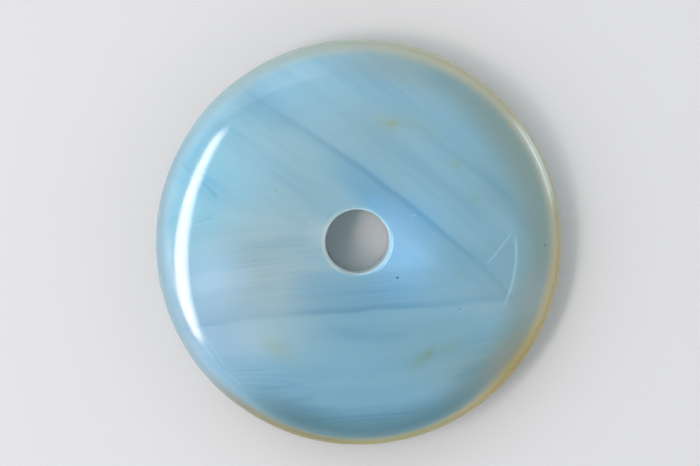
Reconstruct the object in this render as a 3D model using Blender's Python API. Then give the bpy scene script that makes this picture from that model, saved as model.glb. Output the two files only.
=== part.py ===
"""Agate donut pendant: a turned and polished disc of pale banded agate, with a
round hole for its cord near the middle, lying on its back face.

Metres, +Z up. The origin lies on the surface that the pendant rests on, under
the middle of the disc, and +Z points out of its front face. Both faces are
flat around the hole, then fall away in a shallow dome that runs without a
break into the round of the rim.
"""

import math

import bmesh
import bpy
from mathutils import Vector

MM = 0.001

# The disc
OUTER_RADIUS = 28.0 * MM
THICKNESS = 8.0 * MM
DOME_WIDTH = 11.0 * MM  # how far in from the rim each face begins to fall
FACE_FALL = 1.0 * MM  # height of a flat face above the top of the rim's round

# The cord hole, which was drilled a little off the middle
BORE_RADIUS = 4.4 * MM
BORE_SHIFT_X = -0.35 * MM
BORE_SHIFT_Y = 0.35 * MM
BORE_EDGE_RADIUS = 0.35 * MM

# How finely the rounds are cut into facets
TURN_STEPS = 96
RIM_STEPS = 14
DOME_STEPS = 6
BORE_EDGE_STEPS = 4

# Finish of the polished stone
STONE_COLOUR = "8ab0c1"
STONE_ROUGHNESS = 0.06
STONE_IOR = 1.54

# An edge that turns by more than this would be left sharp
SHARP_ANGLE = math.radians(30.0)


def linear_colour(hex_code):
    """Turn an sRGB hex code into the linear colour that the shader takes."""
    parts = [int(hex_code[i:i + 2], 16) / 255.0 for i in (0, 2, 4)]
    linear = [c / 12.92 if c <= 0.04045 else ((c + 0.055) / 1.055) ** 2.4 for c in parts]
    return (*linear, 1.0)


def arc(centre_r, centre_z, radius, start, end, steps):
    """Points (r, z) of an arc from angle start to angle end, both included."""
    points = []
    for i in range(steps + 1):
        angle = start + (end - start) * i / steps
        points.append((centre_r + radius * math.cos(angle), centre_z + radius * math.sin(angle)))
    return points


def skin_profile():
    """The section of the disc's outside, from the flat back round to the flat front.

    The rim is half round. Each dome is the one arc that touches both the flat
    face at its edge and the rim's round, so the skin has no crease.
    """
    middle = THICKNESS / 2
    rim_radius = middle - FACE_FALL
    rim_centre = OUTER_RADIUS - rim_radius
    flat_radius = OUTER_RADIUS - DOME_WIDTH
    run = rim_centre - flat_radius
    dome_radius = (run ** 2 + middle ** 2 - rim_radius ** 2) / (2 * FACE_FALL)
    slope = math.asin(run / (dome_radius - rim_radius))

    up = math.pi / 2
    shoulder = up - slope
    back = arc(flat_radius, dome_radius, dome_radius, -up, -shoulder, DOME_STEPS)
    rim = arc(rim_centre, middle, rim_radius, -shoulder, shoulder, RIM_STEPS)
    front = arc(flat_radius, THICKNESS - dome_radius, dome_radius, shoulder, up, DOME_STEPS)
    return back + rim[1:-1] + front


def bore_profile():
    """The section of the hole's wall, from the front face down to the back face."""
    edge_centre = BORE_RADIUS + BORE_EDGE_RADIUS
    quarter = math.pi / 2
    top = arc(edge_centre, THICKNESS - BORE_EDGE_RADIUS, BORE_EDGE_RADIUS,
              quarter, 2 * quarter, BORE_EDGE_STEPS)
    bottom = arc(edge_centre, BORE_EDGE_RADIUS, BORE_EDGE_RADIUS,
                 2 * quarter, 3 * quarter, BORE_EDGE_STEPS)
    return top + bottom


def turn(bm, profile, centre):
    """Turn a section once about the upright axis through centre; give its end loops."""
    verts = [bm.verts.new(centre + Vector((r, 0.0, z))) for r, z in profile]
    edges = [bm.edges.new(pair) for pair in zip(verts, verts[1:])]
    before = set(bm.edges) - set(edges)
    bmesh.ops.spin(
        bm, geom=verts + edges, cent=centre, axis=(0.0, 0.0, 1.0),
        angle=2 * math.pi, steps=TURN_STEPS, use_merge=True,
    )
    return [edge for edge in bm.edges if edge not in before and edge.is_boundary]


def make_stone():
    """Pale blue chalcedony under a high polish."""
    stone = bpy.data.materials.new("polished_agate")
    stone.use_nodes = True
    stone.diffuse_color = linear_colour(STONE_COLOUR)
    shader = stone.node_tree.nodes["Principled BSDF"]
    shader.inputs["Base Color"].default_value = linear_colour(STONE_COLOUR)
    shader.inputs["Roughness"].default_value = STONE_ROUGHNESS
    shader.inputs["Metallic"].default_value = 0.0
    shader.inputs["IOR"].default_value = STONE_IOR
    return stone


def make_donut():
    """The pendant: a turned skin and a turned hole, joined by the two flat faces."""
    bm = bmesh.new()
    skin_ends = turn(bm, skin_profile(), Vector((0.0, 0.0, 0.0)))
    bore_ends = turn(bm, bore_profile(), Vector((BORE_SHIFT_X, BORE_SHIFT_Y, 0.0)))
    for height in (0.0, THICKNESS):
        loops = [
            edge for edge in skin_ends + bore_ends
            if abs(edge.verts[0].co.z - height) < BORE_EDGE_RADIUS / 2
        ]
        bmesh.ops.bridge_loops(bm, edges=loops)
    bmesh.ops.recalc_face_normals(bm, faces=bm.faces)

    mesh = bpy.data.meshes.new("agate_donut")
    bm.to_mesh(mesh)
    bm.free()
    mesh.shade_smooth()
    mesh.set_sharp_from_angle(angle=SHARP_ANGLE)
    mesh.materials.append(make_stone())

    donut = bpy.data.objects.new("agate_donut", mesh)
    bpy.context.scene.collection.objects.link(donut)
    return donut


def main():
    for old in list(bpy.data.objects):
        bpy.data.objects.remove(old, do_unlink=True)
    make_donut()


main()
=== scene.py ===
"""Agate donut pendant: the looks of the polished stone, lying on a pale floor.

Metres, +Z up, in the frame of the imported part. Sizes on the stone are written
in millimetres and turned to metres with MM.
"""

import math

import bmesh
import bpy
from mathutils import Matrix, Vector, noise


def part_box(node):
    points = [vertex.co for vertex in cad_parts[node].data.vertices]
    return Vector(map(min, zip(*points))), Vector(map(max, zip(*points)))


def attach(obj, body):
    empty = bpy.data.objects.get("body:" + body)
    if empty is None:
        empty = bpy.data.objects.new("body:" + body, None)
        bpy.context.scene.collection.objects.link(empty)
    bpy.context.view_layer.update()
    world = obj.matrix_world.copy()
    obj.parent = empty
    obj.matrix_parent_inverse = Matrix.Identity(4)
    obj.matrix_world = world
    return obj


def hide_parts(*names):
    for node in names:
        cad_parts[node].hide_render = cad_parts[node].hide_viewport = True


MM = 0.001

# The hole and the faces, as the part has them, in metres
BORE_RADIUS = 4.4 * MM
BORE_EDGE_RADIUS = 0.35 * MM
BORE_CENTRE = Vector((-0.35 * MM, 0.35 * MM, 0.0))
DOME_WIDTH = 11.0 * MM
FACE_FALL = 1.0 * MM

# How finely the stone's surface is cut
TURN_STEPS = 360
RIM_STEPS = 64
DOME_STEPS = 28
FLAT_STEPS = 36
BORE_EDGE_STEPS = 8
BORE_WALL_STEPS = 12

# The waviness that lapping leaves in the faces: it sinks them by up to twice this depth
LAP_DEPTH = 0.004 * MM
LAP_LENGTH = 5.0 * MM

# The photograph's frame and the camera that took it
FRAME_WIDTH_PX = 700.0
FRAME_HEIGHT_PX = 466.0
SCALE_PX_PER_MM = 7.252
CAMERA_DISTANCE = 0.400
CAMERA_TILT = math.radians(3.3)
CAMERA_LEAN = math.radians(120.0)
DISC_CENTRE_PX = (359.1, 242.7)
SENSOR_WIDTH_MM = 36.0

# The colours of the stone's body, its bands, pale lines and painted reflections, warm spots and pits
MILKY_BLUE = "8bb6c8"
SEAM_TINT = "cfe1ed"
BAND_TINT = "c8deec"
PALE_LINE_AND_REFLECTION_TINT = "a9d0e2"
WARM_SPOT_TINT = "ffeec4"
PIT_TINT = "4e6a76"

# The colours of the face towards the rim: painted shade at the right and the bottom, and a grey and a tan
# patch
PAINTED_SHADE_RIGHT = "869e9d"
PAINTED_SHADE_BOTTOM = "5c8591"
GREY_FACE = "a0aab0"
TAN_FACE = "8f9289"

# The colours of the rim: its cream is painted light glowing through the thin stone, its tones at the
# bottom and the lower left are painted shade, and its pale line is partly a painted reflection
RIM_COOL = "8eb2c0"
RIM_CREAM_GLOW = "aba380"
RIM_LEFT = "8ba5b2"
RIM_BOTTOM_SHADE = "989f7c"
RIM_LOWER_LEFT_SHADE = "84826a"
TAN_RIM = "9e9252"
EDGE_GLOW_TINT = "f5e8aa"
RIM_SIDE = "b2b3a0"
PALE_RIM_AND_REFLECTION = "c4d0cb"

# The colours of the ground hole and the rings round it: the wall painted paler with light, and one ring a
# painted highlight
GROUND_EDGE = "b0c8d0"
GROUND_WALL_WITH_LIGHT = "c8dade"
HOLE_EDGE_HIGHLIGHT = "c4ecff"
GROUND_RING = "c8ccc4"
GROUND_GREY = "8a9ba0"

# How the banded sheets lean from the front face down, and how far and how often they sway
FRONT_HEIGHT_MM = 8.0
BAND_LEAN = (0.22, -0.15, 0.0)
SWAY_MM = 0.35
SWAY_LENGTH_MM = 7.0

# The lines of the two seams in mm: height at the middle, slope, bend and twist
UPPER_SEAM = (10.99, -0.728, -0.00487, -0.00008)
LOWER_SEAM = (-9.30, 0.056, 0.0, 0.00008)

# The upper seam's slant as a cosine, and its direction. Where both seams end at the right, in mm,
# and how much the bands below the lower one sag
UPPER_SEAM_SLANT = 0.79
UPPER_SEAM_RUN = (0.79, -0.61, 0.0)
SEAM_END_MM = (22.8, 20.8)
BOWL = 0.00075

# A seam's section by the distance inside it, in mm: where its sharp outer side starts, where its line
# ends and how dark that is, and the same for the shadow within
SEAM_SIDE_MM = -0.30
SEAM_LINE = (1.3, 0.42, 0.0)
SEAM_SHADOW = (0.3, 4.2, 0.40, 0.0)

# For each seam, in mm: where its sharp side is full, where it gets stronger from the left and from
# the right, and last how strong its ends stay
SEAM_FADES = [
    (0.30, (-13.5, -1.0), (17.5, 11.0), 0.45),
    (0.42, (-13.0, -3.5), (13.0, 5.0), 0.38),
]

# Streaks. Where they stand out their strength is STREAK_CLEAR, and elsewhere it is STREAK_PLAIN
# times the last number of each kind, after its width and length in mm and its detail. STREAK_TONE
# has the values of their pattern over which they darken
STREAK_PLAIN = 0.45
STREAK_CLEAR = 0.42
STREAK_TONE = (0.38, 0.72)
STREAKS = [
    (3.0, 30.0, 1.0, 0.70),
    (0.9, 16.0, 1.5, 0.22),
    (0.3, 10.0, 2.0, 0.10),
]

# Where the streaks stand out: centre, half sizes in mm, turn in degrees, strength
STREAKY_PLACES = [
    ((-13.4, 18.6), (7.0, 4.0), -36.0, 0.8),
    ((-11.2, 11.6), (10.0, 5.0), -34.0, 0.4),
    ((-20.5, 7.0), (4.5, 6.0), 0.0, 0.8),
    ((-10.0, -3.0), (11.0, 6.5), 0.0, 0.8),
    ((0.8, -6.5), (11.0, 3.0), 0.0, 0.7),
    ((-11.6, -19.2), (11.0, 4.0), -5.0, 1.0),
    ((-0.6, -23.8), (16.0, 3.0), 3.0, 0.6),
    ((2.0, 20.5), (11.0, 4.5), -25.0, 0.35),
    ((17.5, -16.0), (7.0, 6.0), 45.0, 0.8),
]

# Clouds of another tone: centre, half sizes in mm, turn in degrees, colour, strength
CLOUDS = [
    ((-8.5, 9.0), (17.0, 15.0), 0.0, "a3c4cd", 0.8),
    ((-22.0, 8.0), (16.0, 18.0), 0.0, "9dd0e2", 1.0),
    ((-21.0, -12.0), (14.0, 12.0), 0.0, "a4c8dd", 1.0),
    ((-12.5, -4.5), (14.0, 16.0), 0.0, "afc5ca", 1.0),
    ((-2.0, 22.0), (24.0, 9.0), 0.0, "9cc5d5", 0.9),
    ((2.0, 16.5), (14.0, 6.0), 0.0, "9abac2", 0.6),
    ((5.0, 25.0), (14.0, 5.5), -8.0, "97b2b9", 0.9),
    ((-11.0, 20.5), (8.0, 5.0), 40.0, "9ccde1", 0.6),
    ((6.0, -1.4), (7.5, 6.5), -8.0, "9aceee", 0.85),
    ((2.0, 6.8), (11.0, 4.5), -36.0, "77adcb", 0.8),
    ((21.0, 8.0), (10.0, 24.0), 0.0, "84a7b0", 0.6),
    ((2.0, -25.0), (24.0, 9.0), 0.0, "74a6bd", 0.7),
    ((0.0, -11.5), (14.0, 6.0), 0.0, "7daabf", 0.7),
    ((12.0, -15.0), (12.0, 9.0), 0.0, "86abb4", 0.6),
    ((-18.0, -10.5), (8.0, 8.0), 0.0, "b0cddb", 0.4),
    ((-11.0, -19.0), (9.0, 5.0), -10.0, "9cc5d6", 0.5),
    ((-20.5, -4.2), (7.5, 6.5), 0.0, "bcdcf0", 0.6),
    ((-6.0, 17.0), (10.0, 7.0), -30.0, "b0d4e0", 0.4),
    ((-14.0, 12.5), (6.0, 5.0), -35.0, "b9d6e0", 0.3),
    ((8.0, 10.0), (14.0, 11.0), -35.0, "a8c9d0", 0.25),
    ((5.2, 2.8), (5.0, 3.4), -36.0, "9ccdee", 0.5),
    ((19.5, -7.5), (8.0, 6.0), 0.0, "a6bec0", 0.4),
    ((-5.5, -6.2), (6.0, 4.2), 0.0, "80b1c6", 0.45),
    ((-4.5, 8.5), (6.5, 6.0), -40.0, "8ab4c4", 0.3),
    # The next cloud, dark at the lower left by the rim, is painted shade
    ((-8.5, -24.4), (9.5, 5.0), -15.0, "5f8ea3", 0.68),
    ((15.5, -19.0), (7.0, 6.0), -40.0, "8ba29b", 0.36),
    ((-19.0, -14.0), (7.0, 5.0), -45.0, "8fb4d0", 0.42),
    ((8.5, 4.0), (6.5, 4.5), -36.0, "82bee4", 0.4),
    ((5.5, -6.5), (7.5, 3.5), 0.0, "84bce0", 0.3),
    ((18.0, 2.5), (5.5, 4.0), 0.0, "92bccc", 0.45),
    ((-5.8, 1.4), (3.0, 3.0), 0.0, "bed0d8", 0.5),
    ((2.4, 5.2), (3.2, 2.4), -30.0, "88c2e6", 0.45),
    ((-22.5, 14.0), (4.5, 5.0), 0.0, "8fc6dc", 0.4),
    ((-18.2, -20.2), (7.0, 1.4), -42.0, "86a6bc", 0.5),
    ((-23.5, -12.5), (4.0, 1.3), -62.0, "86a6bc", 0.4),
    ((11.5, 22.3), (6.5, 3.0), -27.0, "6f9fb4", 0.4),
]

# Single streaks that can be told apart: start, end, half width, bow in mm, strength
DARK_STREAKS = [
    ((-25.0, 11.6), (-22.6, 9.2), 0.25, 0.0, 0.40),
    ((-21.9, 9.0), (-19.3, 6.2), 0.50, 0.0, 0.45),
    ((-22.8, 2.9), (-19.9, 3.7), 0.30, 0.1, 0.40),
    ((-5.5, -10.6), (7.4, -12.2), 1.30, -1.3, 0.22),
    ((-11.0, -24.5), (13.0, -22.8), 0.22, 0.15, 0.50),
    ((-9.0, -24.9), (7.6, -23.7), 0.20, 0.10, 0.42),
    ((-17.8, -17.2), (-12.6, -17.2), 0.20, 0.0, 0.35),
    ((-16.0, -18.0), (-9.6, -17.8), 0.30, 0.0, 0.18),
    ((-14.6, -20.0), (-7.8, -19.1), 0.38, 0.1, 0.38),
    ((-14.0, -19.3), (-9.4, -18.8), 0.20, 0.0, 0.25),
    ((-11.6, -21.7), (-6.0, -20.9), 0.70, 0.0, 0.26),
    ((-11.8, -23.2), (-3.0, -22.4), 0.25, 0.0, 0.25),
    ((-22.3, -11.0), (-18.0, -10.9), 0.25, 0.0, 0.28),
    ((12.4, -19.0), (20.8, -15.8), 0.90, 0.3, 0.33),
    ((15.6, -15.6), (22.8, -10.8), 0.60, 0.2, 0.20),
    ((0.0, 15.6), (15.0, 5.2), 1.20, 0.5, 0.10),
    ((8.0, 15.2), (22.0, 4.4), 1.00, 0.7, 0.24),
    ((-12.6, 10.3), (-5.4, 5.2), 0.70, 0.0, 0.12),
    ((-16.6, 21.4), (-7.4, 14.9), 0.80, 0.0, 0.30),
    ((-17.6, 20.0), (-10.4, 15.0), 1.60, 0.0, 0.16),
    ((-17.4, -0.5), (-5.0, 0.9), 0.50, 0.0, 0.15),
]

# Pale lines: start, end, half width, bow in mm, strength. Most are painted reflections of the softbox; one
# leaves the top of the arc at the right, and one is a fleck
PALE_LINES_AND_REFLECTIONS = [
    # Painted reflection: the next three lines make a bowed arc, the softbox's light thrown back off the
    # stone's back face
    ((21.1, 1.8), (19.6, -8.6), 0.36, 0.85, 0.65),
    ((20.9, -5.2), (19.2, -9.4), 0.24, 0.1, 0.25),
    ((21.3, -5.3), (20.7, -7.8), 0.11, 0.0, 0.50),
    ((20.9, 1.9), (17.2, -2.9), 0.22, 0.15, 0.50),
    ((6.9, 3.8), (7.7, 4.0), 0.18, 0.0, 0.6),
    # Painted highlight: these four lines carry the softbox's highlight on past its lower tip
    ((-21.8, -12.0), (-18.5, -16.9), 0.20, 0.05, 0.45),
    ((-22.4, -12.7), (-20.3, -15.6), 0.26, 0.05, 0.60),
    ((-21.0, -14.7), (-19.2, -17.2), 0.20, 0.0, 0.30),
    ((-19.2, -17.0), (-16.4, -19.4), 0.20, 0.1, 0.35),
]

# Warm yellowish spots, most of them about halfway out: centre, half sizes in mm, turn in degrees, strength
WARM_SPOTS = [
    ((4.4, 16.5), (1.1, 0.7), -8.0, 0.8),
    ((4.0, 16.5), (3.4, 1.9), -8.0, 0.35),
    ((8.0, 15.8), (4.5, 1.3), -28.0, 0.22),
    ((9.4, -15.0), (1.5, 0.7), 40.0, 0.5),
    ((8.6, -15.8), (3.8, 1.6), 38.0, 0.45),
    ((12.5, -14.0), (2.6, 1.2), 30.0, 0.25),
    ((-10.8, -14.5), (5.6, 2.3), -34.0, 0.28),
    ((-11.6, -14.3), (2.4, 1.0), -35.0, 0.12),
    ((13.4, 10.8), (0.8, 0.7), 0.0, 0.45),
    ((13.2, 10.9), (2.2, 1.6), -30.0, 0.20),
    ((15.6, 6.0), (0.9, 1.3), 0.0, 0.35),
    ((13.8, -3.9), (0.9, 1.2), -50.0, 0.25),
    ((-11.5, 7.3), (0.55, 0.30), -20.0, 0.7),
]

# Tiny dark pits in the polish: centre and half size in mm
PITS = [
    ((5.1, -4.6), 0.21),
    ((13.6, -8.9), 0.13),
    ((25.4, -0.2), 0.13),
    ((-18.9, -16.5), 0.09),
    ((-14.4, -2.2), 0.08),
]

# Where the face is tan at the lower right and greyer at the right: centre, half sizes in mm, turn,
# and how strongly
TAN_PLACE = ((21.0, -15.8), (9.5, 3.6), 53.0)
TAN_STRENGTH = 0.8
GREY_PLACE = ((24.4, -7.4), (4.6, 6.4), -16.0)
GREY_STRENGTH = 0.4

# Sides of the stone: a direction from its middle, and how far a place leans that way, as a cosine,
# where a tone starts and is full
LOWER_WARM_SIDE = ((0.574, -0.819, 0.0), 0.02, 0.72)
BOTTOM_SIDE = ((0.0, -1.0, 0.0), 0.55, 1.0)
RIGHT_SHADE_SIDE = ((0.966, -0.259, 0.0), -0.35, 0.70)
LOWER_SHADE_SIDE = ((0.574, -0.819, 0.0), 0.20, 0.60)
PALE_LINE_SIDE = ((0.906, 0.423, 0.0), 0.960, 1.0)

# The side towards which the rim is cream with painted light glowing through the thin stone: direction,
# then cosines and strengths of start and full
UPPER_WARM_SIDE = (0.985, 0.174, 0.0)
UPPER_WARM_RISE = (-0.80, 0.60, 0.0, 0.78)

# Tones that the rim takes on some sides, those at the bottom and the lower left painted shade: direction,
# cosines of start and full, strength, colour
RIM_SIDE_TONES = [
    ((-0.940, -0.342, 0.0), 0.45, 0.88, 0.85, RIM_LEFT),
    ((0.0, -1.0, 0.0), 0.75, 1.0, 1.0, RIM_BOTTOM_SHADE),
    ((-0.407, -0.914, 0.0), 0.88, 1.0, 0.7, RIM_LOWER_LEFT_SHADE),
]

# Rings of the face and the rim: where each tone starts and is full, in mm from the middle
SHADE_RING_MM = (20.5, 25.0)
EDGE_RING_MM = (27.1, 27.75)
PALE_LINE_START_MM = (25.9, 27.25)
PALE_LINE_END_MM = (27.72, 27.30)

# The rim's own colour: where it starts and is full, and how much further out at the bottom and at
# the cool side. The shade of the face starts further out at the bottom too. All in mm
RIM_START_MM = 25.5
RIM_FULL_MM = 27.1
BOTTOM_SHIFTS_MM = (1.05, 0.15)
COOL_SHIFTS_MM = (0.25, 0.8)
SHADE_SHIFT_MM = 1.6

# Spacing of the fine lines in the rim's pale line, in mm, drawn as coarse as they need to be to show. That
# line is partly a paler tone of the rim, partly a painted reflection. Then the values of their pattern
# over which the pale line gets stronger, and its strengths there
PALE_LINE_STRIPE_MM = 0.2778
PALE_LINE_STRIPE_SHARES = (0.38, 0.62, 0.68, 1.0)

# How much of the outermost edge's yellow follows the cream of the lower right alone
EDGE_LOWER_SHARE = 0.75

# The rim's lower half: where its tone starts and is full, in mm above the back, and how strongly
RIM_SIDE_HEIGHT_MM = (4.7, 3.2)
RIM_SIDE_STRENGTH = 0.6

# The hole: where its ground edge and its wall start and are full, in mm from the hole's middle, and
# how strongly the edge is toned
GROUND_EDGE_STRENGTH = 0.40
GROUND_EDGE_MM = (4.75, 4.50)
HOLE_WALL_MM = (4.46, 4.41)

# Thin rings round the hole: radius, how far off it they end and how far off they are whole, in mm,
# then direction, cosines of start and full, strength and colour
HOLE_RINGS = [
    # The first ring, bright at the right, is a painted highlight on the hole's rounded edge
    (4.84, 0.14, 0.02, (0.94, -0.34, 0.0), 0.70, 1.0, 0.80, HOLE_EDGE_HIGHLIGHT),
    (4.74, 0.26, 0.06, (-1.0, 0.0, 0.0), 0.15, 0.80, 0.45, GROUND_RING),
    (4.54, 0.12, 0.03, (-0.64, -0.77, 0.0), 0.55, 0.95, 0.85, GROUND_GREY),
]

# How far apart the polish changes, in mm, and its roughness where it is best and least good
POLISH_PATCH_MM = 2.857
POLISH_ROUGHNESS = (0.04, 0.07)

# The ground hole: its roughness, the grain of its grit and how deep that goes, in mm. The grit's
# scratches are finer than this, and are drawn coarse enough to show
GROUND_ROUGHNESS = 0.25
GRIT_MM = 0.4
GRIT_DEPTH_MM = 0.02

# The pits' depth, and where they start and are whole above the back, in mm: only the front has them
PIT_DEPTH_MM = 0.12
PIT_HEIGHT_MM = (5.0, 6.0)

# Agate's index of refraction, how far light goes into it in metres, and the shares of that for red,
# green and blue
AGATE_IOR = 1.54
LIGHT_DEPTH = 2.0 * MM
LIGHT_DEPTH_SHARES = (1.0, 0.8, 0.6)

# The room round the stone: how brightly its parts glow, where they stand, with the cosines at which
# their glow starts and is full, and heights as the upward part of a direction of length 1
CEILING_GLOW = 0.25
HORIZON_GLOW = 1.51
WALL_HEIGHTS = (0.95, 0.25)
RIGHT_AND_LEFT_SHARES = (0.85, 1.05)

# The lit wall at the upper left, which ends at a straight edge overhead
LIT_WALL_GLOW = 1.2
LIT_WALL_SIDE = ((-0.515, 0.857, 0.0), 0.80, 0.99)
LIT_WALL_HEIGHTS = (0.20, 0.65)
LIT_WALL_EDGE = (0.131, -0.925, 0.356)
LIT_WALL_EDGE_FADE = (0.002, -0.007)

# The wall beside the softbox: a narrow part low down and a broad one above, each with its cosines and
# heights, the side where it starts, and where it ends at the top
LEFT_GLOW = 3.6
LEFT_SIDE = (-0.995, -0.099, 0.0)
LEFT_LOW_PART = ((0.975, 1.0), (0.10, 0.80))
LEFT_HIGH_PART = ((0.83, 0.90), (0.60, 0.74))
LEFT_START = (0.05, -0.10)
LEFT_TOP = (0.89, 0.82)

# The low window on the right, brightest at its sill
LOW_WINDOW_GLOW = 4.8
LOW_WINDOW_SIDE = ((0.934, 0.358, 0.0), 0.948, 1.0)
LOW_WINDOW_TOP = 0.31

# The softbox on the left, in metres: its middle and size, the curves of its two long edges,
# the slant of its near corner, and where its two ends fade
SOFTBOX_PLACE = (-0.295, -0.060, 0.450)
SOFTBOX_SIZE = (0.30, 0.42)
SOFTBOX_INNER_EDGE = (-0.2025, 0.252, 0.58, -2.0)
SOFTBOX_OUTER_EDGE = (-0.259, 0.385, 0.75, 0.0)
SOFTBOX_NEAR_SLANT = -0.37
SOFTBOX_FAR_END = (0.141, 0.122)
SOFTBOX_NEAR_END = (-0.262, -0.125)

# Its glow rises in two steps from the inner edge: where each starts and is full, and from and to
# what strength
SOFTBOX_FRINGE = (-0.009, 0.002, 0.0, 8.0)
SOFTBOX_CORE = (0.008, 0.016, 0.0, 7.0)

# Its outer edge: where its fade starts, and where that ends, which moves in towards the near end. The
# long tail at the near end: its fade, and how much it takes over. Where the near corner is cut off
SOFTBOX_OUTER_START = -0.008
SOFTBOX_OUTER_WIDTHS = (-0.040, -0.150, 0.011, 0.045)
SOFTBOX_TAIL = (-0.100, 0.005)
SOFTBOX_TAIL_SHARES = (-0.060, -0.140, 0.0, 0.42)
SOFTBOX_NEAR_CORNER = (-0.105, -0.085)

# Colours of the room, the lights and the floor
ROOM_WHITE = "f7fbfe"
LEFT_WALL_WHITE = "ffeaf1"
WINDOW_WHITE = "dcebf4"
SOFTBOX_WHITE = "fff3e8"
FLOOR_GREY = "d8dadc"


def linear_colour(hex_code):
    """Turn an sRGB hex code into the linear colour that shaders and lights take."""
    parts = [int(hex_code[i:i + 2], 16) / 255.0 for i in (0, 2, 4)]
    linear = [c / 12.92 if c <= 0.04045 else ((c + 0.055) / 1.055) ** 2.4 for c in parts]
    return (*linear, 1.0)


def put(tree, kind, inputs, out=0, **settings):
    """Add one node: settings are its options, inputs are linked or fixed; give one output."""
    node = tree.nodes.new("ShaderNode" + kind)
    for name, value in settings.items():
        setattr(node, name, value)
    pairs = inputs.items() if isinstance(inputs, dict) else enumerate(inputs)
    for key, value in pairs:
        if isinstance(value, bpy.types.NodeSocket):
            tree.links.new(value, node.inputs[key])
        else:
            node.inputs[key].default_value = value
    return node.outputs[out]


def arc(centre_r, centre_z, radius, start, end, steps):
    """Points (r, z) of an arc from angle start to angle end, both included."""
    points = []
    for i in range(steps + 1):
        angle = start + (end - start) * i / steps
        points.append((centre_r + radius * math.cos(angle), centre_z + radius * math.sin(angle)))
    return points


def skin_profile(outer_radius, thickness):
    """The disc's outside, from the edge of the flat back round to the edge of the flat front."""
    middle = thickness / 2
    rim_radius = middle - FACE_FALL
    rim_centre = outer_radius - rim_radius
    flat_radius = outer_radius - DOME_WIDTH
    run = rim_centre - flat_radius
    dome_radius = (run ** 2 + middle ** 2 - rim_radius ** 2) / (2 * FACE_FALL)
    slope = math.asin(run / (dome_radius - rim_radius))
    up = math.pi / 2
    shoulder = up - slope
    back = arc(flat_radius, dome_radius, dome_radius, -up, -shoulder, DOME_STEPS)
    rim = arc(rim_centre, middle, rim_radius, -shoulder, shoulder, RIM_STEPS)
    front = arc(flat_radius, thickness - dome_radius, dome_radius, shoulder, up, DOME_STEPS)
    return back + rim[1:-1] + front


def bore_profile(thickness):
    """The hole's wall, from the front face down to the back face."""
    edge_centre = BORE_RADIUS + BORE_EDGE_RADIUS
    quarter = math.pi / 2
    high = thickness - BORE_EDGE_RADIUS
    top = arc(edge_centre, high, BORE_EDGE_RADIUS, quarter, 2 * quarter, BORE_EDGE_STEPS)
    low = BORE_EDGE_RADIUS
    bottom = arc(edge_centre, low, BORE_EDGE_RADIUS, 2 * quarter, 3 * quarter, BORE_EDGE_STEPS)
    wall = []
    for i in range(1, BORE_WALL_STEPS):
        share = i / BORE_WALL_STEPS
        wall.append((BORE_RADIUS, high + (low - high) * share))
    return top + wall + bottom


def ring_points(profile, centre):
    """One ring of points for each point of a turned section."""
    rings = []
    for r, z in profile:
        ring = []
        for i in range(TURN_STEPS):
            angle = 2 * math.pi * i / TURN_STEPS
            ring.append(centre + Vector((r * math.cos(angle), r * math.sin(angle), z)))
        rings.append(ring)
    return rings


def flat_rings(inner, outer):
    """Rings of a flat face between two rings, so that it can take fine relief."""
    rings = []
    for step in range(1, FLAT_STEPS):
        share = step / FLAT_STEPS
        rings.append([a.lerp(b, share) for a, b in zip(inner, outer)])
    return rings


def lapped(point, middle_height):
    """A point of the skin, sunk a little by the slight waviness that lapping by hand leaves."""
    sunk = (1.0 - noise.noise(point / LAP_LENGTH)) * LAP_DEPTH
    inward = -1.0 if point.z >= middle_height else 1.0
    return point + Vector((0.0, 0.0, inward * sunk))


def make_stone_mesh(outer_radius, thickness):
    """The whole skin of the stone, as rings joined in one closed loop of strips."""
    skin = ring_points(skin_profile(outer_radius, thickness), Vector((0.0, 0.0, 0.0)))
    bore = ring_points(bore_profile(thickness), BORE_CENTRE)
    rings = skin + flat_rings(skin[-1], bore[0]) + bore + flat_rings(bore[-1], skin[0])

    bm = bmesh.new()
    rows = [[bm.verts.new(lapped(point, thickness / 2)) for point in ring] for ring in rings]
    for row, following in zip(rows, rows[1:] + rows[:1]):
        for i in range(TURN_STEPS):
            j = (i + 1) % TURN_STEPS
            bm.faces.new((row[i], row[j], following[j], following[i]))
    bmesh.ops.recalc_face_normals(bm, faces=bm.faces)
    mesh = bpy.data.meshes.new("polished_donut")
    bm.to_mesh(mesh)
    bm.free()
    mesh.shade_smooth()
    return mesh


def toward(tree, way, side, start, full, most=1.0):
    """How far a way leans to one side: 0 up to the cosine start, and most from the cosine full."""
    lean = put(tree, "VectorMath", [way, side], "Value", operation="DOT_PRODUCT")
    return put(tree, "MapRange", [lean, start, full, 0.0, most], interpolation_type="SMOOTHSTEP")


def laid_on(tree, colour, mask, strength, hex_code, blend_type="MIX"):
    """The colour with one more tone laid on it where the mask is 1, as strongly as told."""
    share = put(tree, "Math", [mask, strength], operation="MULTIPLY")
    return put(tree, "Mix", {0: share, 6: colour, 7: linear_colour(hex_code)}, 2,
               data_type="RGBA", blend_type=blend_type)


def oval(tree, place, centre, half_size, turn=0.0):
    """1 in the middle of a soft oval patch of the stone, fading to 0 at its edge. Sizes in mm."""
    offset = put(tree, "VectorMath", [place, (*centre, 0.0)], operation="SUBTRACT")
    turned = put(tree, "VectorRotate", {"Vector": offset, "Angle": -math.radians(turn)},
                 rotation_type="Z_AXIS")
    shrink = (1.0 / half_size[0], 1.0 / half_size[1], 0.0)
    inside = put(tree, "VectorMath", [turned, shrink], operation="MULTIPLY")
    reach = put(tree, "VectorMath", [inside], "Value", operation="LENGTH")
    return put(tree, "MapRange", [reach, 0.0, 1.0, 1.0, 0.0], interpolation_type="SMOOTHSTEP")


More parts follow.
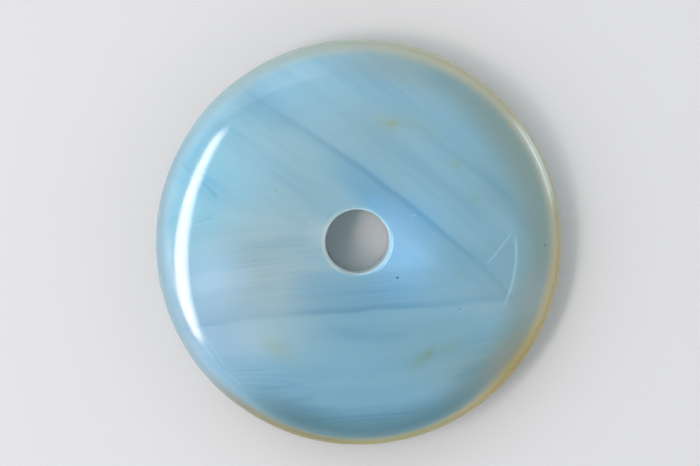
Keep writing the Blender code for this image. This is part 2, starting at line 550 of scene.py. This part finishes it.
def thin_line(tree, place, start, end, half_width, bow):
    """1 on a thin bowed line in the stone, fading to 0 at its sides and its ends. Sizes in mm."""
    run = Vector(end) - Vector(start)
    middle = (Vector(start) + Vector(end)) / 2
    way = run.normalized()
    offset = put(tree, "VectorMath", [place, (*middle, 0.0)], operation="SUBTRACT")
    along = put(tree, "VectorMath", [offset, (way.x, way.y, 0.0)], "Value", operation="DOT_PRODUCT")
    across = put(tree, "VectorMath", [offset, (-way.y, way.x, 0.0)], "Value", operation="DOT_PRODUCT")
    share = put(tree, "Math", [along, 2.0 / run.length], operation="MULTIPLY")
    share_squared = put(tree, "Math", [share, share], operation="MULTIPLY")
    bow_here = put(tree, "Math", [share_squared, bow, -bow], operation="MULTIPLY_ADD")
    off_line = put(tree, "Math", [across, bow_here], operation="ADD")
    distance = put(tree, "Math", [off_line], operation="ABSOLUTE")
    side = put(tree, "MapRange", [distance, 0.0, half_width, 1.0, 0.0], interpolation_type="SMOOTHSTEP")
    ends = put(tree, "MapRange", [share_squared, 0.3, 1.0, 1.0, 0.0], interpolation_type="SMOOTHSTEP")
    return put(tree, "Math", [side, ends], operation="MULTIPLY")


def thin_ring(tree, distance, radius, fade_start, whole):
    """1 on a thin ring of the given radius, fading to 0 at fade_start from it. Sizes in mm."""
    offset = put(tree, "Math", [distance, radius], operation="SUBTRACT")
    off_ring = put(tree, "Math", [offset], operation="ABSOLUTE")
    return put(tree, "MapRange", [off_ring, fade_start, whole])


def band_grain(tree, bands, depth, across_mm, along_mm, detail):
    """Streaks of one width, long in the direction of the bands, as a value about 0.5."""
    across, along = bands
    stretched = put(tree, "CombineXYZ", [
        put(tree, "Math", [across, 1.0 / across_mm], operation="MULTIPLY"),
        put(tree, "Math", [along, 1.0 / along_mm], operation="MULTIPLY"),
        put(tree, "Math", [depth, 1.0 / along_mm], operation="MULTIPLY"),
    ])
    return put(tree, "TexNoise", {"Vector": stretched, "Scale": 1.0, "Detail": detail, "Roughness": 0.5})


def curve_height(tree, x, line):
    """Height of a curved line at x: a cubic of x."""
    middle, slope, bend, twist = line
    bent = put(tree, "Math", [x, twist, bend], operation="MULTIPLY_ADD")
    sloped = put(tree, "Math", [x, bent, slope], operation="MULTIPLY_ADD")
    return put(tree, "Math", [x, sloped, middle], operation="MULTIPLY_ADD")


def seam_section(tree, inside, rise_end):
    """Darkness of a seam by the distance inside it: a sharp outer side, and a shadow within."""
    outer_side = put(tree, "MapRange", [inside, SEAM_SIDE_MM, rise_end], interpolation_type="SMOOTHSTEP")
    line = put(tree, "MapRange", [inside, rise_end, *SEAM_LINE], interpolation_type="SMOOTHSTEP")
    shadow = put(tree, "MapRange", [inside, *SEAM_SHADOW])
    both = put(tree, "Math", [line, shadow], operation="ADD")
    return put(tree, "Math", [outer_side, both], operation="MULTIPLY")


def leaned_place(tree, place, height):
    """The place in the front face that a place in the stone belongs to, since the sheets lean."""
    below_front = put(tree, "Math", [height, FRONT_HEIGHT_MM], operation="SUBTRACT")
    lean = put(tree, "VectorMath", {0: BAND_LEAN, "Scale": below_front}, operation="SCALE")
    return put(tree, "VectorMath", [place, lean], operation="ADD")


def swayed_place(tree, leaned):
    """The same place moved to and fro a little, so that no band runs quite straight."""
    sway = put(tree, "TexNoise", {"Vector": leaned, "Scale": 1.0 / SWAY_LENGTH_MM, "Detail": 1.0}, "Color")
    centred = put(tree, "VectorMath", [sway, (0.5, 0.5, 0.5)], operation="SUBTRACT")
    swayed = put(tree, "VectorMath", {0: centred, "Scale": 2.0 * SWAY_MM}, operation="SCALE")
    return put(tree, "VectorMath", [leaned, swayed], operation="ADD")


def streaky_share(tree, leaned):
    """How clearly the fine bands show here: they stand out in some places."""
    streaky = None
    for centre, half_size, turn, strength in STREAKY_PLACES:
        mask = oval(tree, leaned, centre, half_size, turn)
        patch = put(tree, "Math", [mask, strength], operation="MULTIPLY")
        streaky = patch if streaky is None else put(tree, "Math", [streaky, patch], operation="MAXIMUM")
    return streaky


def streaked(tree, colour, leaned, height, upper_bands, lower_bands, lower_share):
    """Streaks of three widths, as the stone grew layer on layer, and the ones that can be told apart."""
    streaky = streaky_share(tree, leaned)
    for across_mm, along_mm, detail, everywhere in STREAKS:
        upper = band_grain(tree, upper_bands, height, across_mm, along_mm, detail)
        lower = band_grain(tree, lower_bands, height, across_mm, along_mm, detail)
        grain = put(tree, "Mix", {0: lower_share, 2: upper, 3: lower}, data_type="FLOAT")
        depth = put(tree, "MapRange", [streaky, 0.0, 1.0, everywhere * STREAK_PLAIN, STREAK_CLEAR])
        tone = put(tree, "MapRange", [grain, *STREAK_TONE])
        colour = laid_on(tree, colour, tone, depth, BAND_TINT, "MULTIPLY")
    for start, end, half_width, bow, strength in DARK_STREAKS:
        line = thin_line(tree, leaned, start, end, half_width, bow)
        colour = laid_on(tree, colour, line, strength, SEAM_TINT, "MULTIPLY")
    return colour


def seamed(tree, colour, x, above_upper, above_lower):
    """The two seams, darkest in the middle of the stone, which end at the pale veins on the right."""
    inside_upper = put(tree, "Math", [above_upper, -1.0], operation="MULTIPLY")
    for inside, seam_fades in zip((inside_upper, above_lower), SEAM_FADES):
        rise_end, left_side, right_side, faint = seam_fades
        section = seam_section(tree, inside, rise_end)
        left = put(tree, "MapRange", [x, *left_side], interpolation_type="SMOOTHSTEP")
        right = put(tree, "MapRange", [x, *right_side], interpolation_type="SMOOTHSTEP")
        middle = put(tree, "Math", [left, right], operation="MULTIPLY")
        strong = put(tree, "MapRange", [middle, 0.0, 1.0, faint, 1.0])
        end = put(tree, "MapRange", [x, *SEAM_END_MM])
        strength = put(tree, "Math", [strong, end], operation="MULTIPLY")
        colour = laid_on(tree, colour, section, strength, SEAM_TINT, "MULTIPLY")
    return colour


def face_with_painted_shade(tree, colour, place, outward, down, from_middle):
    """Painted shade: towards its rim, on its right and at its bottom, the face is darker and greyer."""
    shade = put(tree, "Mix", {0: down, 6: linear_colour(PAINTED_SHADE_RIGHT), 7: linear_colour(PAINTED_SHADE_BOTTOM)}, 2,
                data_type="RGBA")
    right_shade = toward(tree, outward, *RIGHT_SHADE_SIDE)
    lower_shade = toward(tree, outward, *LOWER_SHADE_SIDE)
    shaded_side = put(tree, "Math", [right_shade, lower_shade], operation="MAXIMUM")
    further_in = put(tree, "Math", [down, -SHADE_SHIFT_MM, from_middle], operation="MULTIPLY_ADD")
    inner_ring = put(tree, "MapRange", [further_in, *SHADE_RING_MM], interpolation_type="SMOOTHSTEP")
    shade_share = put(tree, "Math", [shaded_side, inner_ring], operation="MULTIPLY")
    colour = put(tree, "Mix", {0: shade_share, 6: colour, 7: shade}, 2, data_type="RGBA")
    colour = laid_on(tree, colour, oval(tree, place, *GREY_PLACE), GREY_STRENGTH, GREY_FACE)
    return laid_on(tree, colour, oval(tree, place, *TAN_PLACE), TAN_STRENGTH, TAN_FACE)


def rim_tones(tree, place, outward, height, from_middle, warm, lower_warm):
    """The rim's colours: cool at the left, cream at the right and the bottom as painted light glowing
    through the thin stone, painted shade at the bottom and the lower left, and one pale line that is
    partly a painted reflection.
    """
    rim = put(tree, "Mix", {0: warm, 6: linear_colour(RIM_COOL), 7: linear_colour(RIM_CREAM_GLOW)}, 2,
              data_type="RGBA")
    for side, start, full, strength, hex_code in RIM_SIDE_TONES:
        rim = laid_on(tree, rim, toward(tree, outward, side, start, full), strength, hex_code)
    rim = laid_on(tree, rim, oval(tree, place, *TAN_PLACE), 1.0, TAN_RIM)

    # The outermost edge is yellower with painted light shining through the thin stone, and the rim's lower
    # half, which turns down, is more muted
    edge_ring = put(tree, "MapRange", [from_middle, *EDGE_RING_MM], interpolation_type="SMOOTHSTEP")
    edge_warmth = put(tree, "Mix", {0: EDGE_LOWER_SHARE, 2: warm, 3: lower_warm}, data_type="FLOAT")
    rim = laid_on(tree, rim, edge_ring, edge_warmth, EDGE_GLOW_TINT, "MULTIPLY")
    lower_half = put(tree, "MapRange", [height, *RIM_SIDE_HEIGHT_MM], interpolation_type="SMOOTHSTEP")
    rim = laid_on(tree, rim, lower_half, RIM_SIDE_STRENGTH, RIM_SIDE)

    # At the upper right the rim has a pale line with finer lines in it: partly a paler tone of the rim,
    # partly a painted reflection
    pale_width = toward(tree, outward, *PALE_LINE_SIDE)
    pale_start = put(tree, "MapRange", [from_middle, *PALE_LINE_START_MM], interpolation_type="SMOOTHSTEP")
    pale_end = put(tree, "MapRange", [from_middle, *PALE_LINE_END_MM], interpolation_type="SMOOTHSTEP")
    pale_ring = put(tree, "Math", [pale_start, pale_end], operation="MULTIPLY")
    pale_stripes = put(tree, "TexNoise", {"W": from_middle, "Scale": 1.0 / PALE_LINE_STRIPE_MM, "Detail": 1.0},
                      noise_dimensions="1D")
    line_share = put(tree, "MapRange", [pale_stripes, *PALE_LINE_STRIPE_SHARES])
    lined_ring = put(tree, "Math", [pale_ring, line_share], operation="MULTIPLY")
    return laid_on(tree, rim, pale_width, lined_ring, PALE_RIM_AND_REFLECTION)


def rim_share(tree, down, warm, from_middle):
    """How far the rim's own colour has taken over from the face's: 0 on the face, 1 on the rim."""
    cool = put(tree, "MapRange", [warm, 0.5, 0.0])
    start = put(tree, "Math", [down, BOTTOM_SHIFTS_MM[0], RIM_START_MM], operation="MULTIPLY_ADD")
    full = put(tree, "Math", [down, BOTTOM_SHIFTS_MM[1], RIM_FULL_MM], operation="MULTIPLY_ADD")
    start = put(tree, "Math", [cool, COOL_SHIFTS_MM[0], start], operation="MULTIPLY_ADD")
    full = put(tree, "Math", [cool, COOL_SHIFTS_MM[1], full], operation="MULTIPLY_ADD")
    return put(tree, "MapRange", [from_middle, start, full], interpolation_type="SMOOTHSTEP")


def agate_colour(tree, place, flat_place, height, from_middle):
    """Milky blue chalcedony: two seams that meet in a wedge, and the fine bands that follow them."""
    leaned = leaned_place(tree, place, height)
    swayed = swayed_place(tree, leaned)
    x = put(tree, "SeparateXYZ", [swayed], "X")
    y = put(tree, "SeparateXYZ", [swayed], "Y")
    upper_rise = put(tree, "Math", [y, curve_height(tree, x, UPPER_SEAM)], operation="SUBTRACT")
    above_upper = put(tree, "Math", [upper_rise, UPPER_SEAM_SLANT], operation="MULTIPLY")
    upper_along = put(tree, "VectorMath", [swayed, UPPER_SEAM_RUN], "Value", operation="DOT_PRODUCT")
    above_lower = put(tree, "Math", [y, curve_height(tree, x, LOWER_SEAM)], operation="SUBTRACT")

    # Below the lower seam the bands sag into a bowl
    under = put(tree, "Math", [above_lower, 0.0], operation="MINIMUM")
    bowl = put(tree, "Math", [put(tree, "Math", [x, x], operation="MULTIPLY"), BOWL], operation="MULTIPLY")
    bowl_here = put(tree, "Math", [bowl, under], operation="MULTIPLY")
    lower_across = put(tree, "Math", [above_lower, bowl_here], operation="ADD")
    nearer_lower = put(tree, "Math", [above_upper, above_lower], operation="ADD")
    lower_share = put(tree, "MapRange", [nearer_lower, 3.0, -3.0], interpolation_type="SMOOTHSTEP")

    colour = linear_colour(MILKY_BLUE)
    for centre, half_size, turn, hex_code, strength in CLOUDS:
        colour = laid_on(tree, colour, oval(tree, leaned, centre, half_size, turn), strength, hex_code)
    upper_bands = (above_upper, upper_along)
    lower_bands = (lower_across, x)
    colour = streaked(tree, colour, leaned, height, upper_bands, lower_bands, lower_share)
    colour = seamed(tree, colour, x, above_upper, above_lower)

    # Pale lines, most of them painted reflections of the softbox, with a fleck, and warm yellowish spots
    for start, end, half_width, bow, strength in PALE_LINES_AND_REFLECTIONS:
        line = thin_line(tree, leaned, start, end, half_width, bow)
        colour = laid_on(tree, colour, line, strength, PALE_LINE_AND_REFLECTION_TINT)
    for centre, half_size, turn, strength in WARM_SPOTS:
        warm_spot = oval(tree, leaned, centre, half_size, turn)
        colour = laid_on(tree, colour, warm_spot, strength, WARM_SPOT_TINT, "MULTIPLY")

    outward = put(tree, "VectorMath", [flat_place], operation="NORMALIZE")
    upper_side = put(tree, "VectorMath", [outward, UPPER_WARM_SIDE], "Value", operation="DOT_PRODUCT")
    upper_warm = put(tree, "MapRange", [upper_side, *UPPER_WARM_RISE])
    lower_warm = toward(tree, outward, *LOWER_WARM_SIDE)
    warm = put(tree, "Math", [upper_warm, lower_warm], operation="MAXIMUM")
    down = toward(tree, outward, *BOTTOM_SIDE)
    colour = face_with_painted_shade(tree, colour, place, outward, down, from_middle)
    rim = rim_tones(tree, place, outward, height, from_middle, warm, lower_warm)
    share = rim_share(tree, down, warm, from_middle)
    return put(tree, "Mix", {0: share, 6: colour, 7: rim}, 2, data_type="RGBA")


def hole_tones(tree, colour, flat_place, from_bore, ground):
    """The ground wall and edge of the hole, paler than the polish, the wall with painted light too, and
    the thin rings round it, one a painted highlight.
    """
    colour = laid_on(tree, colour, ground, GROUND_EDGE_STRENGTH, GROUND_EDGE)
    in_hole = put(tree, "MapRange", [from_bore, *HOLE_WALL_MM])
    colour = laid_on(tree, colour, in_hole, 1.0, GROUND_WALL_WITH_LIGHT)
    beside_hole = put(tree, "VectorMath", [flat_place, tuple(BORE_CENTRE / MM)], operation="SUBTRACT")
    hole_way = put(tree, "VectorMath", [beside_hole], operation="NORMALIZE")
    for radius, fade_start, whole, side, start, full, strength, hex_code in HOLE_RINGS:
        ring = thin_ring(tree, from_bore, radius, fade_start, whole)
        part = toward(tree, hole_way, side, start, full, strength)
        colour = laid_on(tree, colour, ring, part, hex_code)
    return colour


def pit_share(tree, place, height):
    """1 in the tiny pits of the front, fading to 0 at their edges."""
    pits = None
    for centre, half_size in PITS:
        pit = oval(tree, place, centre, (half_size, half_size))
        pits = pit if pits is None else put(tree, "Math", [pits, pit], operation="MAXIMUM")
    on_front = put(tree, "MapRange", [height, *PIT_HEIGHT_MM])
    return put(tree, "Math", [pits, on_front], operation="MULTIPLY")


def make_agate():
    """Blue chalcedony agate, ground flat and polished wet: milky within, glassy on its skin.

    Light goes a millimetre or two into it, and it shines like glass, except in the
    drilled hole, which was only ground smooth and looks paler, its wall paler still with painted light.
    """
    stone = bpy.data.materials.new("polished_agate")
    stone.use_nodes = True
    tree = stone.node_tree
    shader = tree.nodes["Principled BSDF"]
    place_m = put(tree, "TexCoord", [], "Object")
    place = put(tree, "VectorMath", {0: place_m, "Scale": 1.0 / MM}, operation="SCALE")
    height = put(tree, "SeparateXYZ", [place], "Z")
    flat_place = put(tree, "VectorMath", [place, (1.0, 1.0, 0.0)], operation="MULTIPLY")
    from_middle = put(tree, "VectorMath", [flat_place], "Value", operation="LENGTH")
    bore_centre = tuple(BORE_CENTRE / MM)
    from_bore = put(tree, "VectorMath", [flat_place, bore_centre], "Value", operation="DISTANCE")
    ground = put(tree, "MapRange", [from_bore, *GROUND_EDGE_MM], interpolation_type="SMOOTHSTEP")
    pits = pit_share(tree, place, height)

    colour = agate_colour(tree, place, flat_place, height, from_middle)
    colour = hole_tones(tree, colour, flat_place, from_bore, ground)
    colour = laid_on(tree, colour, put(tree, "MapRange", [pits, 0.0, 0.6]), 1.0, PIT_TINT, "MULTIPLY")
    tree.links.new(colour, shader.inputs["Base Color"])

    # Polish is a little uneven over a few millimetres, and the ground hole is satin
    smear = put(tree, "TexNoise", {"Vector": place, "Scale": 1.0 / POLISH_PATCH_MM, "Detail": 2.0})
    polish = put(tree, "MapRange", [smear, 0.3, 0.7, *POLISH_ROUGHNESS])
    roughness = put(tree, "Mix", {0: ground, 2: polish, 3: GROUND_ROUGHNESS}, data_type="FLOAT")
    tree.links.new(roughness, shader.inputs["Roughness"])

    grit = put(tree, "TexNoise", {"Vector": place, "Scale": 1.0 / GRIT_MM, "Detail": 3.0})
    ground_depth = put(tree, "Math", [ground, GRIT_DEPTH_MM], operation="MULTIPLY")
    grit_depth = put(tree, "Math", [grit, ground_depth], operation="MULTIPLY")
    relief = put(tree, "Math", [pits, -PIT_DEPTH_MM, grit_depth], operation="MULTIPLY_ADD")
    bump = put(tree, "Bump", {"Height": relief, "Distance": MM, "Strength": 1.0})
    tree.links.new(bump, shader.inputs["Normal"])

    shader.inputs["IOR"].default_value = AGATE_IOR
    shader.inputs["Subsurface Weight"].default_value = 1.0
    shader.inputs["Subsurface Radius"].default_value = LIGHT_DEPTH_SHARES
    shader.inputs["Subsurface Scale"].default_value = LIGHT_DEPTH
    return stone


def make_floor():
    """A plain pale floor."""
    paper = bpy.data.materials.new("pale_floor")
    paper.use_nodes = True
    shader = paper.node_tree.nodes["Principled BSDF"]
    shader.inputs["Base Color"].default_value = linear_colour(FLOOR_GREY)
    shader.inputs["Roughness"].default_value = 0.9
    shader.inputs["Specular IOR Level"].default_value = 0.2
    bm = bmesh.new()
    bmesh.ops.create_circle(bm, cap_ends=True, segments=64, radius=4.0)
    mesh = bpy.data.meshes.new("floor")
    bm.to_mesh(mesh)
    bm.free()
    mesh.materials.append(paper)
    floor = bpy.data.objects.new("floor", mesh)
    bpy.context.scene.collection.objects.link(floor)


def make_softbox():
    """A level softbox over the left side, whose reflection is the long bowed highlight.

    It is brightest along its outer part, and fades along its inner edge and at its near end.
    """
    light = bpy.data.lights.new("left_softbox", "AREA")
    light.shape = "RECTANGLE"
    light.size, light.size_y = SOFTBOX_SIZE
    light.energy = math.pi * SOFTBOX_SIZE[0] * SOFTBOX_SIZE[1]
    light.use_nodes = True
    tree = light.node_tree
    spot = put(tree, "NewGeometry", [], "Position")
    x = put(tree, "SeparateXYZ", [spot], "X")
    y = put(tree, "SeparateXYZ", [spot], "Y")
    in_inner = put(tree, "Math", [curve_height(tree, y, SOFTBOX_INNER_EDGE), x], operation="SUBTRACT")
    in_outer = put(tree, "Math", [x, curve_height(tree, y, SOFTBOX_OUTER_EDGE)], operation="SUBTRACT")
    fringe = put(tree, "MapRange", [in_inner, *SOFTBOX_FRINGE], interpolation_type="SMOOTHSTEP")
    core = put(tree, "MapRange", [in_inner, *SOFTBOX_CORE], interpolation_type="SMOOTHSTEP")

    # The outer edge is sharp at the far end, and softens into a long tail towards the near end
    sharp_end = put(tree, "MapRange", [y, *SOFTBOX_OUTER_WIDTHS])
    sharp = put(tree, "MapRange", [in_outer, SOFTBOX_OUTER_START, sharp_end])
    tail = put(tree, "MapRange", [in_outer, *SOFTBOX_TAIL])
    tail_share = put(tree, "MapRange", [y, *SOFTBOX_TAIL_SHARES])
    outer = put(tree, "Mix", {0: tail_share, 2: sharp, 3: tail}, data_type="FLOAT")
    far_end = put(tree, "MapRange", [y, *SOFTBOX_FAR_END], interpolation_type="SMOOTHSTEP")
    near_end = put(tree, "MapRange", [y, *SOFTBOX_NEAR_END], interpolation_type="SMOOTHSTEP")
    slanted = put(tree, "Math", [x, SOFTBOX_NEAR_SLANT, y], operation="MULTIPLY_ADD")
    near_corner = put(tree, "MapRange", [slanted, *SOFTBOX_NEAR_CORNER])
    both = put(tree, "Math", [core, fringe], operation="ADD")
    near = put(tree, "Math", [near_end, near_corner], operation="MULTIPLY")
    ends = put(tree, "Math", [far_end, near], operation="MULTIPLY")
    shape = put(tree, "Math", [outer, ends], operation="MULTIPLY")
    strength = put(tree, "Math", [both, shape], operation="MULTIPLY")
    emission = tree.nodes["Emission"]
    emission.inputs["Color"].default_value = linear_colour(SOFTBOX_WHITE)
    tree.links.new(strength, emission.inputs["Strength"])

    lamp = bpy.data.objects.new("left_softbox", light)
    lamp.location = SOFTBOX_PLACE
    lamp.visible_camera = False
    bpy.context.scene.collection.objects.link(lamp)


def facing(back):
    """A turn whose Z runs along back, and whose Y stays as near to the room's Y as it can."""
    across = Vector((0.0, 1.0, 0.0)).cross(back).normalized()
    upright = back.cross(across)
    return Matrix((across, upright, back)).transposed().to_quaternion()


def make_camera(thickness):
    """The camera looks down on the pendant as it looked at it in the photograph."""
    camera = bpy.data.cameras.new("camera")
    frame_width_mm = FRAME_WIDTH_PX / SCALE_PX_PER_MM
    camera.sensor_width = SENSOR_WIDTH_MM
    camera.lens = SENSOR_WIDTH_MM * CAMERA_DISTANCE / (frame_width_mm * MM)
    camera.clip_start = 0.01
    camera.clip_end = 20.0
    eye = bpy.data.objects.new("camera", camera)
    bpy.context.scene.collection.objects.link(eye)

    right_px = FRAME_WIDTH_PX / 2 - DISC_CENTRE_PX[0]
    up_px = DISC_CENTRE_PX[1] - FRAME_HEIGHT_PX / 2
    aim = Vector((right_px, up_px, 0.0)) * (MM / SCALE_PX_PER_MM)
    aim.z = thickness / 2
    back = Vector((
        math.sin(CAMERA_TILT) * math.cos(CAMERA_LEAN),
        math.sin(CAMERA_TILT) * math.sin(CAMERA_LEAN),
        math.cos(CAMERA_TILT),
    ))
    eye.location = aim + back * CAMERA_DISTANCE
    eye.rotation_mode = "QUATERNION"
    eye.rotation_quaternion = facing(back)
    bpy.context.scene.camera = eye


def make_world():
    """A pale studio room: a dim ceiling and brighter walls, two of them lit, and a low window."""
    world = bpy.data.worlds.new("studio")
    bpy.context.scene.world = world
    world.use_nodes = True
    tree = world.node_tree
    background = tree.nodes["Background"]
    direction = put(tree, "TexCoord", [], "Generated")
    up = put(tree, "SeparateXYZ", [direction], "Z")
    flat_direction = put(tree, "VectorMath", [direction, (1.0, 1.0, 0.0)], operation="MULTIPLY")
    level = put(tree, "VectorMath", [flat_direction], operation="NORMALIZE")
    walls = put(tree, "MapRange", [up, *WALL_HEIGHTS, CEILING_GLOW, HORIZON_GLOW],
                interpolation_type="SMOOTHSTEP")
    left_side = put(tree, "VectorMath", [level, LEFT_SIDE], "Value", operation="DOT_PRODUCT")
    side_share = put(tree, "MapRange", [left_side, -1.0, 1.0, *RIGHT_AND_LEFT_SHARES])
    room = put(tree, "Math", [walls, side_share], operation="MULTIPLY")

    # The wall beside the softbox catches some of its light
    level_y = put(tree, "SeparateXYZ", [level], "Y")
    left_parts = []
    for cosines, heights in (LEFT_LOW_PART, LEFT_HIGH_PART):
        part_side = put(tree, "MapRange", [left_side, *cosines], interpolation_type="SMOOTHSTEP")
        part_height = put(tree, "MapRange", [up, *heights], interpolation_type="SMOOTHSTEP")
        left_parts.append(put(tree, "Math", [part_side, part_height], operation="MULTIPLY"))
    left_glow = put(tree, "Math", left_parts, operation="MAXIMUM")
    left_start = put(tree, "MapRange", [level_y, *LEFT_START, 0.0, LEFT_GLOW],
                     interpolation_type="SMOOTHSTEP")
    left_top = put(tree, "MapRange", [up, *LEFT_TOP], interpolation_type="SMOOTHSTEP")
    left_shape = put(tree, "Math", [left_start, left_top], operation="MULTIPLY")
    left_strength = put(tree, "Math", [left_glow, left_shape], operation="MULTIPLY")
    left_white = linear_colour(LEFT_WALL_WHITE)
    left_wall = put(tree, "Background", {"Color": left_white, "Strength": left_strength})

    wall_width = toward(tree, level, *LIT_WALL_SIDE)
    over_edge = put(tree, "VectorMath", [direction, LIT_WALL_EDGE], "Value", operation="DOT_PRODUCT")
    wall_edge = put(tree, "MapRange", [over_edge, *LIT_WALL_EDGE_FADE], interpolation_type="SMOOTHSTEP")
    wall_height = put(tree, "MapRange", [up, *LIT_WALL_HEIGHTS], interpolation_type="SMOOTHSTEP")
    wall_shape = put(tree, "Math", [wall_edge, wall_height], operation="MULTIPLY")
    lit_wall = put(tree, "Math", [wall_width, wall_shape], operation="MULTIPLY")
    strength = put(tree, "Math", [lit_wall, LIT_WALL_GLOW, room], operation="MULTIPLY_ADD")
    background.inputs["Color"].default_value = linear_colour(ROOM_WHITE)
    tree.links.new(strength, background.inputs["Strength"])

    low_width = toward(tree, level, *LOW_WINDOW_SIDE)
    low_height = put(tree, "MapRange", [up, LOW_WINDOW_TOP, 0.0, 0.0, LOW_WINDOW_GLOW],
                     interpolation_type="SMOOTHSTEP")
    low_strength = put(tree, "Math", [low_width, low_height], operation="MULTIPLY")
    window_white = linear_colour(WINDOW_WHITE)
    low_window = put(tree, "Background", {"Color": window_white, "Strength": low_strength})
    both_sides = put(tree, "AddShader", [left_wall, low_window])
    whole_room = put(tree, "AddShader", [background.outputs[0], both_sides])
    tree.links.new(whole_room, tree.nodes["World Output"].inputs["Surface"])


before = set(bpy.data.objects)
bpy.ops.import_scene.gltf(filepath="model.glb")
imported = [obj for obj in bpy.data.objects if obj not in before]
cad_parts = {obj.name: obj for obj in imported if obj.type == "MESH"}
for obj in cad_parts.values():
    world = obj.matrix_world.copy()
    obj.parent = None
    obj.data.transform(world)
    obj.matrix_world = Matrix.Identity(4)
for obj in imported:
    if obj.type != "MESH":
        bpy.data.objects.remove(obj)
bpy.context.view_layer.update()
stone_low, stone_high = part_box("agate_donut")
radius = (stone_high.x - stone_low.x) / 2
thickness = stone_high.z - stone_low.z

bpy.context.scene.view_settings.view_transform = "Standard"

make_world()
make_camera(thickness)
make_floor()
make_softbox()

donut = bpy.data.objects.new("polished_donut", make_stone_mesh(radius, thickness))
bpy.context.scene.collection.objects.link(donut)
donut.data.materials.append(make_agate())
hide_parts("agate_donut")
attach(donut, "root")
